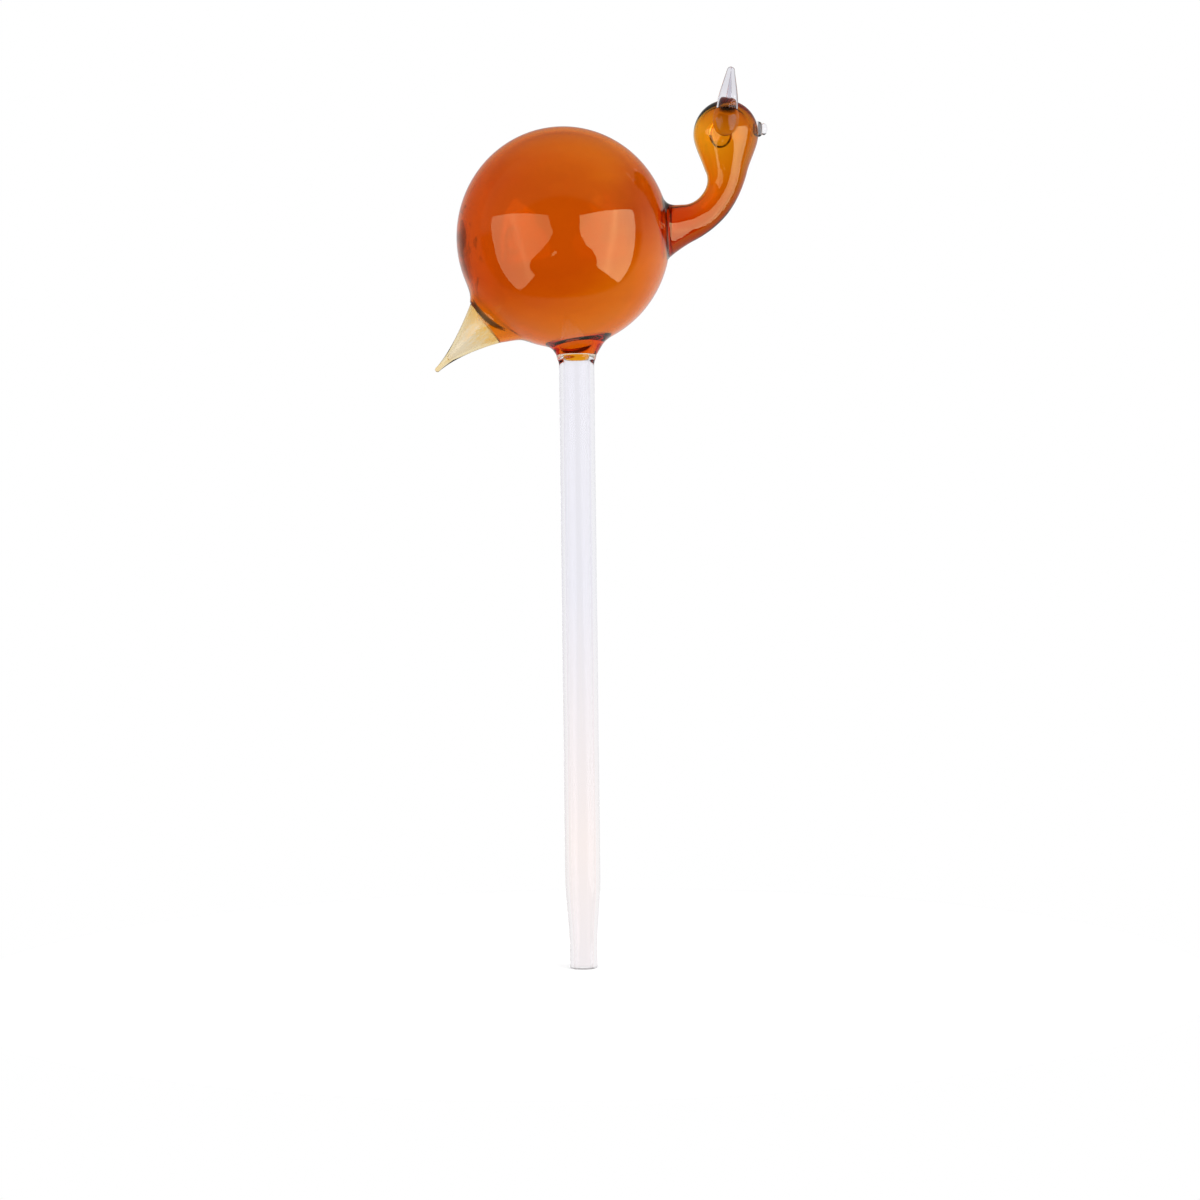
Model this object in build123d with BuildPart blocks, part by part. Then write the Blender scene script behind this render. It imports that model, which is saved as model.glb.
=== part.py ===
"""Hand-blown glass watering globe in the form of a snail, in millimetres.

The stem's open mouth is at the origin and the stem runs up +Z. The head looks along +X, the tail points
to -X, and the figure is the same on both sides of the XZ plane. Every piece is a separate gather of glass,
and each one ends on the seam where it was fused to its neighbour.
"""

import os
from math import cos, hypot, radians, sin, tan

from build123d import *

# Stem: clear tube, drawn in at the mouth and flared where it joins the globe's collar
stem_length = 199.0
stem_radius = 5.7
stem_wall = 1.3
mouth_radius = 4.45
mouth_wall = 1.2
mouth_length = 6.0
mouth_polish = 0.5
taper_length = 24.0
flare_height = 3.2

# Globe: amber bulb, a little taller than wide, set behind the stem's axis
globe_half_width = 34.7
globe_half_height = 35.6
globe_wall = 1.3
globe_setback = 3.75
collar_radius = 6.5
collar_height = 2.5
collar_slope = 31.0
collar_fillet = 2.0

# Tail: hollow pale horn, drawn down and back from a skirt on the globe
tail_seat_angle = 46.8
tail_standoff = 2.25
tail_angle = 36.0
tail_droop = 7.5
tail_length = 21.8
tail_root_radius = 8.0
tail_tip_radius = 0.8
tail_wall = 1.1
tail_hollow_share = 0.62
tail_sections = 7
tail_flare_power = 1.55
skirt_fillet = 3.0

# Neck and head: amber tube that leaves the globe, bends upright and swells into the head
neck_root_sink = 5.35
neck_start_lift = 1.15
neck_rise = 16.3
neck_bend_radius = 17.8
neck_root_radius = 10.2
neck_waist_radius = 5.2
neck_waist_along = 20.4
neck_root_power = 2.0
neck_root_wall = 2.2
head_wall = 1.4
neck_bore_shift = 0.5
neck_sections = 14
head_overhang = 18.45
head_lift = 33.05
head_radius = 10.55
head_crown = 10.9
head_swell_power = 1.6

# Horns: clear teardrops pressed flat on both sides of the head and drawn up to blunt points
horn_length = 22.3
horn_radius = 4.2
horn_flatness = 0.5
horn_base_height = 5.5
horn_shoulder_angle = 35.0
horn_tip_radius = 1.25
horn_tip_slope = 25.0
horn_lean = 6.4
horn_spread = 10.4
horn_base_back = 1.1
horn_base_drop = 2.6

# Nose: a small clear bead on the front of the head
nose_radius = 2.5
nose_length = 2.9
nose_collar_length = 1.1
nose_collar_rounding = 0.5
nose_tip_radius = 1.9
nose_lift = 1.5
nose_root_depth = 1.5

# Places that follow from the sizes above
stem_bore = stem_radius - stem_wall
mouth_bore = mouth_radius - mouth_wall
bore_start = mouth_length + taper_length
tail_bore = tail_root_radius - tail_wall
globe_x = -globe_setback
globe_z = stem_length + collar_height + globe_half_height
head_x = globe_x + globe_half_width + head_overhang
head_z = globe_z + head_lift
collar_depth = 2 * collar_height + globe_wall
collar_widening = collar_depth * tan(radians(collar_slope))
skirt_slope = (tail_root_radius - tail_tip_radius) * tail_flare_power / tail_length
skirt_depth = 2 * tail_root_radius
skirt_widening = skirt_depth * skirt_slope
seat_across = cos(radians(tail_seat_angle))
seat_down = sin(radians(tail_seat_angle))
seat_radius = 1 / hypot(seat_across / globe_half_width, seat_down / globe_half_height)
tail_x = globe_x - (seat_radius + tail_standoff) * seat_across
tail_z = globe_z - (seat_radius + tail_standoff) * seat_down
centred_up = (Align.CENTER, Align.CENTER, Align.MIN)
centred_down = (Align.CENTER, Align.CENTER, Align.MAX)


def globe_form(inset):
    """The bulb's egg shape, drawn in by inset all round."""
    wide = globe_half_width - inset
    high = globe_half_height - inset
    with BuildPart() as form:
        Sphere(1)
        scale(by=(wide, wide, high))
    return Pos(globe_x, 0, globe_z) * form.part


def crease(bulb):
    """The closed edge where the cone that was added last comes out of the bulb."""
    return bulb.edges(Select.LAST).filter_by(GeomType.BSPLINE).filter_by(lambda edge: edge.is_closed)


def neck_spine():
    """The neck's centre line: out of the globe, round one bend and straight up to the head's middle."""
    start = Vector(globe_x + globe_half_width - neck_root_sink, 0, globe_z + neck_start_lift)
    corner = Vector(head_x, 0, start.Z + (head_x - start.X) * tan(radians(neck_rise)))
    with BuildLine() as spine:
        FilletPolyline(start, corner, (head_x, 0, head_z), radius=neck_bend_radius)
    return spine.wire()


def neck_radius(along, length):
    """Outside radius of neck and head, along the spine from the root to the head's middle."""
    if along < neck_waist_along:
        shrink = (1 - along / neck_waist_along) ** neck_root_power
        return neck_waist_radius + (neck_root_radius - neck_waist_radius) * shrink
    share = ((along - neck_waist_along) / (length - neck_waist_along)) ** head_swell_power
    return neck_waist_radius + (head_radius - neck_waist_radius) * share * share * (3 - 2 * share)


def neck_form(root_inset, head_inset, shift):
    """Neck and head as one solid from inside the globe to the crown.

    It is drawn in by an inset that changes from root to head, and shifted towards the inside of the bend.
    """
    spine = neck_spine()
    with BuildPart() as form:
        for step in range(neck_sections + 1):
            share = step / neck_sections
            inset = root_inset + (head_inset - root_inset) * share
            with BuildSketch(Plane(spine @ share, x_dir=(0, 1, 0), z_dir=spine % share)):
                with Locations((0, shift)):
                    Circle(neck_radius(share * spine.length, spine.length) - inset)
        loft()
        with BuildSketch(Plane.XZ):
            with BuildLine():
                centre = Vector(head_x - shift, head_z)
                wide = head_radius - head_inset
                high = head_crown - head_inset
                crown = EllipticalCenterArc(centre, wide, high, 0, arc_size=90)
                Polyline(crown @ 1, centre, crown @ 0)
            make_face()
        revolve(axis=Axis((head_x - shift, 0, head_z), (0, 0, 1)))
    return form.part


def tail_plane(share):
    """The plane of a tail section at a share of its length, turned from the seam's tilt to the tail's."""
    run = radians(tail_angle + tail_droop)
    now = radians(tail_angle + tail_droop * share)
    here = (
        tail_x - tail_length * share * cos(run),
        0,
        tail_z - tail_length * share * sin(run),
    )
    return Plane(here, x_dir=(0, 1, 0), z_dir=(-cos(now), 0, -sin(now)))


def tail_radius(share):
    """Outside radius of the tail at a share of its length, which flares towards the seam."""
    return tail_tip_radius + (tail_root_radius - tail_tip_radius) * (1 - share) ** tail_flare_power


def tail_form(inset, reach):
    """The tail as one solid from the seam to a round end at a share of its length, drawn in by inset."""
    with BuildPart() as form:
        for step in range(tail_sections + 1):
            share = reach * step / tail_sections
            with BuildSketch(tail_plane(share)):
                Circle(tail_radius(share) - inset)
        loft()
        with Locations(tail_plane(reach)):
            Sphere(tail_radius(reach) - inset, arc_size1=0, align=centred_up)
    return form.part


# Stem
with BuildPart() as stem:
    with BuildSketch(Plane.XZ):
        with BuildLine():
            Polyline(
                (mouth_bore, 0),
                (mouth_radius, 0),
                (mouth_radius, mouth_length),
                (stem_radius, bore_start),
                (stem_radius, stem_length - flare_height),
                (collar_radius, stem_length),
                (stem_bore, stem_length),
                (stem_bore, bore_start),
                (mouth_bore, mouth_length),
                close=True,
            )
        make_face()
    revolve(axis=Axis.Z)
    fillet(stem.edges().group_by(Axis.Z)[0].sort_by(SortBy.RADIUS)[-1], mouth_polish)
stem.part.label = "stem"

# Globe: bulb, collar for the stem and skirt for the tail, blended outside and then hollowed
neck_bore_form = neck_form(neck_root_wall, head_wall, neck_bore_shift)
seam_plane = tail_plane(0)
with BuildPart() as globe:
    add(globe_form(0))
    with Locations((0, 0, stem_length)):
        Cone(collar_radius, collar_radius + collar_widening, collar_depth, align=centred_up)
    fillet(crease(globe), collar_fillet)
    with Locations(seam_plane):
        Cone(tail_root_radius + skirt_widening, tail_root_radius, skirt_depth, align=centred_down)
    fillet(crease(globe), skirt_fillet)
    add(globe_form(globe_wall), mode=Mode.SUBTRACT)
    with Locations((0, 0, stem_length)):
        Cone(stem_bore, stem_bore + collar_widening, collar_depth, align=centred_up, mode=Mode.SUBTRACT)
    with Locations(seam_plane):
        Cone(tail_bore + skirt_widening, tail_bore, skirt_depth, align=centred_down, mode=Mode.SUBTRACT)
    add(neck_bore_form, mode=Mode.SUBTRACT)
globe.part.label = "globe"

# Neck and head, seated on the outside of the globe
head_form = neck_form(0, 0, 0)
with BuildPart() as neck_and_head:
    add(head_form)
    add(neck_bore_form, mode=Mode.SUBTRACT)
    add(globe_form(0), mode=Mode.SUBTRACT)
neck_and_head.part.label = "neck_and_head"

# Tail
with BuildPart() as tail:
    add(tail_form(0, 1))
    add(tail_form(tail_wall, tail_hollow_share), mode=Mode.SUBTRACT)
tail.part.label = "tail"

# Horn: a turned teardrop, flattened from side to side
with BuildPart() as horn:
    with BuildSketch(Plane.XZ):
        with BuildLine():
            base_middle = (0, horn_base_height)
            base_arc = -90 - horn_shoulder_angle
            base = EllipticalCenterArc(
                base_middle, horn_radius, horn_base_height, horn_shoulder_angle, arc_size=base_arc
            )
            tip_middle = (0, horn_length - horn_tip_radius)
            tip = CenterArc(tip_middle, horn_tip_radius, horn_tip_slope, 90 - horn_tip_slope)
            Spline(base @ 0, tip @ 0, tangents=((0, 1), tip % 0))
            Line(tip @ 1, base @ 1)
        make_face()
    revolve(axis=Axis.Z)
    scale(by=(1, horn_flatness, 1))

# Right horn: it leans forward, with its inner side moulded to the head
horn_foot = (head_x - horn_base_back, -horn_spread, head_z - horn_base_drop)
with BuildPart() as right_horn:
    with Locations(Location(horn_foot, (0, horn_lean, 0))):
        add(horn.part)
    add(head_form, mode=Mode.SUBTRACT)
right_horn.part.label = "right_horn"

# Left horn: the right one mirrored
with BuildPart() as left_horn:
    mirror(right_horn.part, about=Plane.XZ)
left_horn.part.label = "left_horn"

# Nose: a bead with a rounded collar where it is pressed on to the face
nose_z = head_z + nose_lift
nose_start = head_x + head_radius - nose_root_depth
nose_step = head_x + head_radius + nose_collar_length
nose_end = head_x + head_radius + nose_length
with BuildPart() as nose:
    with BuildSketch(Plane.XZ):
        with BuildLine():
            Polyline(
                (nose_start, nose_z),
                (nose_start, nose_z + nose_radius),
                (nose_step, nose_z + nose_radius),
                (nose_step, nose_z + nose_tip_radius),
            )
            wide = nose_end - nose_step
            EllipticalCenterArc((nose_step, nose_z), wide, nose_tip_radius, 0, arc_size=90)
            Line((nose_end, nose_z), (nose_start, nose_z))
        make_face()
    revolve(axis=Axis((nose_start, 0, nose_z), (1, 0, 0)))
    nose_rims = nose.edges().filter_by(GeomType.CIRCLE).group_by(SortBy.RADIUS)[-1]
    fillet(nose_rims.sort_by(Axis.X)[-1], nose_collar_rounding)
    add(head_form, mode=Mode.SUBTRACT)
nose.part.label = "nose"

os.makedirs("parts", exist_ok=True)
for piece in (stem, globe, neck_and_head, tail, right_horn, left_horn, nose):
    export_step(piece.part, f"parts/{piece.part.label}.step")
    print(f"{piece.part.label}: {piece.part.volume / 1000:.2f} ml of glass")
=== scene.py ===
# %% [markdown]
# # A hand-blown watering globe
# The real thing is a small glass snail on a long stem. It is filled with water, turned over and pushed
# into a plant's soil, and the water seeps out of the stem's mouth. Seven separate gathers of glass were
# fused in a lamp flame: a clear stem, an amber globe, an amber neck with its head, a pale tail, two
# clear horns and a clear nose. This lesson builds each one as a closed glass body with a true inner
# wall, because the look of glass comes from what light does between those walls.

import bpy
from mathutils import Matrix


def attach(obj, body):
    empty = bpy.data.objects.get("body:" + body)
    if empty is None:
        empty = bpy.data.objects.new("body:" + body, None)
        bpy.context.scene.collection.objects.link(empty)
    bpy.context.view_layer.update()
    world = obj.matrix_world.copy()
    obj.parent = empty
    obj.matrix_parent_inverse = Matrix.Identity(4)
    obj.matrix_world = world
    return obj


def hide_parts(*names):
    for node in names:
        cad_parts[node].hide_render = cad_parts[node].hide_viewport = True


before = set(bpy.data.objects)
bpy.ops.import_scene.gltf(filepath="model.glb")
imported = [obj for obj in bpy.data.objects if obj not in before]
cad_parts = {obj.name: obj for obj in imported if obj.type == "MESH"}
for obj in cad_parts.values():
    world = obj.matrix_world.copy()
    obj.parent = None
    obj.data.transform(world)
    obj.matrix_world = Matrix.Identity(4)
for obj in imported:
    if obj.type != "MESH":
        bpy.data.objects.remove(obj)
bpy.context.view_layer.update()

import math

import bpy
from mathutils import Vector
from mathutils.geometry import tessellate_polygon

mm = 0.001

# %% [markdown]
# ## A short way to write node trees
# Geometry Nodes and shader nodes are both graphs of boxes and wires. In the editor they are drawn by
# hand. In a script a small helper class does the same: one call adds a node and wires its sockets by
# name, and the others write a sum, a blend or a soft step as one line of code. Everything below uses it.

# %% Graph helper
geometry, shading = "GeometryNodeTree", "ShaderNodeTree"


class Graph:
    """Adds nodes to a tree and wires them, a line of code for each."""

    def __init__(self, tree):
        self.tree = tree

    def node(self, kind, feeds=None, **settings):
        node = self.tree.nodes.new(kind)
        for name, value in settings.items():
            setattr(node, name, value)
        for name, value in (feeds or {}).items():
            self.feed(node.inputs[name], value)
        return node

    def feed(self, socket, value):
        if isinstance(value, bpy.types.NodeSocket):
            self.tree.links.new(value, socket)
        else:
            socket.default_value = value

    def math(self, operation, *values, clamp=False):
        node = self.node("ShaderNodeMath", dict(enumerate(values)), operation=operation, use_clamp=clamp)
        return node.outputs["Value"]

    def vector(self, operation, *values):
        node = self.node("ShaderNodeVectorMath", dict(enumerate(values)), operation=operation)
        scalar = operation in ("DOT_PRODUCT", "LENGTH")
        return node.outputs["Value" if scalar else "Vector"]

    def scaled(self, vector, factor):
        return self.node("ShaderNodeVectorMath", {0: vector, "Scale": factor}, operation="SCALE").outputs[0]

    def axes(self, vector):
        return self.node("ShaderNodeSeparateXYZ", {0: vector}).outputs

    def ramp(self, value, low, high, start=0.0, end=1.0):
        """A soft step, from start at the low value to end at the high one."""
        return self.node("ShaderNodeMapRange", {
            "Value": value, "From Min": low, "From Max": high, "To Min": start, "To Max": end,
        }, interpolation_type="SMOOTHSTEP").outputs[0]

    def blend(self, low, high, share):
        return self.node("ShaderNodeMix", {0: share, 2: low, 3: high}, data_type="FLOAT").outputs[0]

    def blend_colour(self, low, high, share):
        return self.node("ShaderNodeMix", {0: share, 6: low, 7: high}, data_type="RGBA").outputs[2]

    def group(self, tree, feeds):
        kind = "GeometryNodeGroup" if tree.bl_idname == geometry else "ShaderNodeGroup"
        node = self.node(kind, node_tree=tree)
        for name, value in feeds.items():
            self.feed(node.inputs[name], value)
        return node


print("helper ready:", [name for name in vars(Graph) if name[0] != "_"])


# %% Empty node groups
def new_tree(name, kind, inputs, outputs):
    """An empty node group with named sockets, and its graph, input sockets and output sockets."""
    tree = bpy.data.node_groups.new(name, kind)
    for label, socket, value in inputs:
        item = tree.interface.new_socket(label, in_out="INPUT", socket_type="NodeSocket" + socket)
        if value is not None:
            item.default_value = value
    for label, socket in outputs:
        tree.interface.new_socket(label, in_out="OUTPUT", socket_type="NodeSocket" + socket)
    graph = Graph(tree)
    return tree, graph, graph.node("NodeGroupInput").outputs, graph.node("NodeGroupOutput").inputs


print("helper ready: new_tree")

# %% [markdown]
# ## Tubes that follow a path
# Lamp-worked glass is mostly tube: the worker heats a place, pulls or blows it, and the tube narrows or
# swells there while its middle line bends. So the stem, neck, tail, horns and nose are all one rule: a
# path with a radius at every point. A path is a curve object whose points carry the radius, and one
# Geometry Nodes group sweeps a circle along it. A second tree subtracts the bore and whatever the piece
# is seated on, so that each piece has a real hollow and a seat that fits its neighbour.

# %% Sweep group and finishing group
def object_shape(g, thing):
    return g.node("GeometryNodeObjectInfo", {"Object": thing}).outputs["Geometry"]


def sweep_group():
    tree, g, given, out = new_tree(
        "swept_tube", geometry, [("Path", "Object", None), ("Sides", "Int", 96)], [("Mesh", "Geometry")])
    ring = g.node("GeometryNodeCurvePrimitiveCircle", {"Resolution": given["Sides"], "Radius": 1.0})
    tube = g.node("GeometryNodeCurveToMesh", {
        "Curve": object_shape(g, given["Path"]), "Profile Curve": ring.outputs[0],
        "Scale": g.node("GeometryNodeInputRadius").outputs[0], "Fill Caps": True,
    })
    g.feed(out["Mesh"], tube.outputs[0])
    return tree


def finish_group():
    """Smooth faces, crisp rims and a material, on real faces."""
    tree, g, given, out = new_tree(
        "glass_finish", geometry,
        [("Mesh", "Geometry", None), ("Rim Angle", "Float", math.radians(40)),
         ("Material", "Material", None)],
        [("Mesh", "Geometry")],
    )
    smooth = g.node("GeometryNodeSetShadeSmooth", {"Geometry": given["Mesh"], "Shade Smooth": True})
    angle = g.node("GeometryNodeInputMeshEdgeAngle").outputs["Unsigned Angle"]
    rim = g.node("FunctionNodeCompare", {"A": angle, "B": given["Rim Angle"]}, operation="GREATER_THAN")
    crisp = g.node("GeometryNodeSetShadeSmooth", {
        "Geometry": smooth.outputs[0], "Selection": rim.outputs[0], "Shade Smooth": False,
    }, domain="EDGE")
    real = g.node("GeometryNodeRealizeInstances", {"Geometry": crisp.outputs[0]})
    painted = g.node("GeometryNodeSetMaterial", {"Geometry": real.outputs[0], "Material": given["Material"]})
    g.feed(out["Mesh"], painted.outputs[0])
    return tree


swept_tube = sweep_group()
glass_finish = finish_group()
print("node groups:", swept_tube.name, glass_finish.name)


# %% Blown tube tree
def cut_away(g, solid, *tools):
    """The solid with the tools subtracted from it."""
    cut = g.node("GeometryNodeMeshBoolean", {"Mesh 1": solid}, operation="DIFFERENCE", solver="MANIFOLD")
    for tool in tools:
        g.feed(cut.inputs["Mesh 2"], tool)
    return cut.outputs[0]


def finished(g, given, out, mesh):
    done = g.group(glass_finish, {"Mesh": mesh, "Material": given["Material"]})
    g.feed(out["Geometry"], done.outputs[0])


def tube_tree():
    tree, g, given, out = new_tree(
        "blown_tube", geometry,
        [("Outside", "Object", None), ("Bore", "Object", None), ("Seat", "Object", None),
         ("Sides", "Int", 96), ("Material", "Material", None)],
        [("Geometry", "Geometry")],
    )
    outside = g.group(swept_tube, {"Path": given["Outside"], "Sides": given["Sides"]}).outputs[0]
    bore = g.group(swept_tube, {"Path": given["Bore"], "Sides": given["Sides"]}).outputs[0]
    finished(g, given, out, cut_away(g, outside, bore, object_shape(g, given["Seat"])))
    return tree


blown_tube = tube_tree()
print("tree:", blown_tube.name)


# %% Paths in, plain meshes out
helpers = []


def path_object(name, stations):
    """A curve whose points are (place, radius) stations."""
    curve = bpy.data.curves.new(name, "CURVE")
    curve.dimensions = "3D"
    spline = curve.splines.new("POLY")
    spline.points.add(len(stations) - 1)
    for point, (place, radius) in zip(spline.points, stations):
        point.co = (*place, 1)
        point.radius = radius
    path = bpy.data.objects.new(name, curve)
    bpy.context.scene.collection.objects.link(path)
    helpers.append(path)
    return path


def grown(name, tree, values):
    """Runs a tree once on an empty mesh and keeps what comes out as a plain mesh object."""
    piece = bpy.data.objects.new(name, bpy.data.meshes.new(name))
    bpy.context.scene.collection.objects.link(piece)
    nodes = piece.modifiers.new("grow", "NODES")
    nodes.node_group = tree
    for item in tree.interface.items_tree:
        if item.in_out == "INPUT" and item.name in values:
            nodes[item.identifier] = values[item.name]
    graph = bpy.context.evaluated_depsgraph_get()
    mesh = bpy.data.meshes.new_from_object(piece.evaluated_get(graph))
    piece.modifiers.clear()
    piece.data = mesh
    mesh.name = name
    print(f"{name}: {len(mesh.vertices)} points, {sum(len(f.vertices) - 2 for f in mesh.polygons)} triangles")
    return piece


print("helpers ready: path_object, grown")


# %% Small rules that the shapes share
def smooth(share):
    """Slow, fast, slow from 0 to 1."""
    share = min(max(share, 0.0), 1.0)
    return share * share * (3 - 2 * share)


def mix(low, high, share):
    return low + (high - low) * share


def even(count):
    return [step / count for step in range(count + 1)]


print("halfway rules:", smooth(0.5), mix(1, 2, 0.5), even(2))

# %% [markdown]
# ## Shared surface effects
# Blown glass is never one flat colour. The colour was spread by hand, so it runs in faint bands and is
# deeper where glass gathered. The skin rises and falls a little where the breath and the flame moved it,
# a few dark flecks stay in it, and handled glass carries thin smears. One more group paints shade: dark
# lines and bands on the near side of a piece, where refraction darkens the glass. Each of these is a
# shader group that reads Object coordinates, in millimetres, so that every piece can share it at one
# scale.

# %% Tint group
def object_mm(g):
    return g.scaled(g.node("ShaderNodeTexCoord").outputs["Object"], 1 / mm)


def away_from(g, place, middle, fade):
    """How far a place is from a middle, with a measure of its own along each axis."""
    return g.vector("LENGTH", g.vector("MULTIPLY", g.vector("SUBTRACT", place, middle), fade))


def tint_group():
    """Deep colour round a heart, fading to the light colour in streaks along a grain, and one deeper pool."""
    tree, g, given, out = new_tree(
        "glass_tint", shading,
        [("Light", "Color", (1, 1, 1, 1)), ("Deep", "Color", (0.9, 0.8, 0.7, 1)),
         ("Heart", "Vector", (0, 0, 0)), ("Fade", "Vector", (0.02, 0, 0.02)), ("Reach", "Float", 1.0),
         ("Grain", "Vector", (0.035, 0.035, 0.11)), ("Lean", "Float", 0.0), ("Streaks", "Float", 0.25),
         ("Pool Color", "Color", (1, 1, 1, 1)), ("Pool Place", "Vector", (0, 0, 0)),
         ("Pool Fade", "Vector", (0.1, 0, 0.1))],
        [("Color", "Color"), ("Swirl", "Float")],
    )
    place = object_mm(g)
    leaned = g.node(
        "ShaderNodeVectorRotate", {"Vector": place, "Angle": given["Lean"]}, rotation_type="Y_AXIS")
    noise = g.node("ShaderNodeTexNoise", {
        "Vector": g.vector("MULTIPLY", leaned.outputs[0], given["Grain"]), "Scale": 1.0, "Detail": 4.0,
        "Roughness": 0.55, "Distortion": 0.6,
    })
    swirl = g.math("SUBTRACT", noise.outputs[0], 0.5)
    deepness = g.math("SUBTRACT", given["Reach"], away_from(g, place, given["Heart"], given["Fade"]))
    share = g.math("ADD", deepness, g.math("MULTIPLY", swirl, given["Streaks"]), clamp=True)
    stain = g.blend_colour(given["Light"], given["Deep"], share)
    gathered = g.ramp(away_from(g, place, given["Pool Place"], given["Pool Fade"]), 0.0, 1.0, 1.0, 0.0)
    pool = g.blend_colour((1, 1, 1, 1), given["Pool Color"], gathered)
    g.feed(out["Color"], g.vector("MULTIPLY", stain, pool))
    g.feed(out["Swirl"], swirl)
    return tree


glass_tint = tint_group()
print("shader group:", glass_tint.name)


# %% Fleck group and painted shade group
fleck_stretch, fleck_thinning, fleck_edge = (0.3, 0.09, 0.1), 0.2, (0.38, 0.47)
# How ragged the painted shade is, and how soft its edge.
painted_shade_raggedness, painted_shade_edge = 0.5, (-0.2, 0.3)


def fleck_group():
    """1 on clean glass, and less on the flecks that lie round one place."""
    tree, g, given, out = new_tree(
        "glass_flecks", shading,
        [("Place", "Vector", (0, 0, 0)), ("Fade", "Vector", (1, 0, 1)), ("Depth", "Float", 0.5)],
        [("Kept", "Float")],
    )
    place = object_mm(g)
    blots = g.node("ShaderNodeTexNoise", {
        "Vector": g.vector("MULTIPLY", place, fleck_stretch), "Scale": 1.0, "Detail": 3.0, "Distortion": 0.8,
    }).outputs[0]
    thinning = g.math("MULTIPLY", away_from(g, place, given["Place"], given["Fade"]), fleck_thinning)
    left = g.math("SUBTRACT", 1.0, given["Depth"])
    g.feed(out["Kept"], g.ramp(g.math("SUBTRACT", blots, thinning), *fleck_edge, 1.0, left))
    return tree


def painted_shade_group():
    """Painted shade on the near side: a dark sagging line that is widest at its middle and a little ragged.
    """
    tree, g, given, out = new_tree(
        "glass_painted_shade", shading,
        [("Start", "Vector", (0, 0, 0)), ("Run", "Vector", (1, 0, 0)), ("Sag", "Vector", (0, 0, 0)),
         ("Width", "Float", 1.0), ("Depth", "Float", 0.5), ("Swirl", "Float", 0.0)],
        [("Painted Shade", "Float")],
    )
    place = object_mm(g)
    begun = g.vector("SUBTRACT", g.vector("MULTIPLY", place, (1, 0, 1)), given["Start"])
    length = g.vector("DOT_PRODUCT", given["Run"], given["Run"])
    along = g.math("DIVIDE", g.vector("DOT_PRODUCT", begun, given["Run"]), length, clamp=True)
    swell = g.math("MULTIPLY", g.math("MULTIPLY", along, 4.0), g.math("SUBTRACT", 1.0, along))
    line = g.vector("ADD", g.scaled(given["Run"], along), g.scaled(given["Sag"], swell))
    beside = g.vector("LENGTH", g.vector("SUBTRACT", begun, line))
    far_side = g.math("MAXIMUM", g.axes(place)["Y"], 0.0)
    inside = g.math("SUBTRACT", g.math("MULTIPLY", swell, given["Width"]), g.math("ADD", beside, far_side))
    ragged = g.math("MULTIPLY_ADD", given["Swirl"], painted_shade_raggedness, inside)
    g.feed(out["Painted Shade"], g.math("MULTIPLY", given["Depth"], g.ramp(ragged, *painted_shade_edge)))
    return tree


glass_flecks = fleck_group()
glass_painted_shade = painted_shade_group()
print("shader groups:", glass_flecks.name, glass_painted_shade.name)


# %% Smear group and ripple group
def smear_group():
    tree, g, given, out = new_tree(
        "glass_smears", shading, [("Low", "Float", 0.0), ("High", "Float", 0.05)], [("Roughness", "Float")])
    patch = g.node("ShaderNodeTexNoise", {
        "Vector": object_mm(g), "Scale": 0.07, "Detail": 3.0, "Roughness": 0.6, "Distortion": 1.2,
    }).outputs[0]
    g.feed(out["Roughness"], g.ramp(patch, 0.52, 0.78, given["Low"], given["High"]))
    return tree


def ripple_group():
    tree, g, given, out = new_tree(
        "glass_ripple", shading, [("Stretch", "Vector", (0.05, 0.05, 0.05))], [("Height", "Float")])
    wave = g.node("ShaderNodeTexNoise", {
        "Vector": g.vector("MULTIPLY", object_mm(g), given["Stretch"]), "Scale": 1.0, "Detail": 1.0,
        "Roughness": 0.4,
    }).outputs[0]
    g.feed(out["Height"], wave)
    return tree


glass_smears = smear_group()
glass_ripple = ripple_group()
print("shader groups:", glass_smears.name, glass_ripple.name)

# %% [markdown]
# ## A recipe for glass
# Each glass is a Principled shader with full transmission and a Volume Absorption inside it. The
# absorption colours thick glass more than thin glass, so the thick crown of the head turns dark and its
# thin wall lets yellow through. The strengths were chosen so that the colours come out as in the photo.
# A wall that is even would give an even colour, so a stain on the surface carries the bands, the pool
# and the flecks. Light crosses a hollow piece four times, and the stain counts each time.

# %% Glass recipe
glass_ior = 1.48
# How much rougher the glass is under the painted shade.
painted_shade_roughness = 0.6


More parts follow.
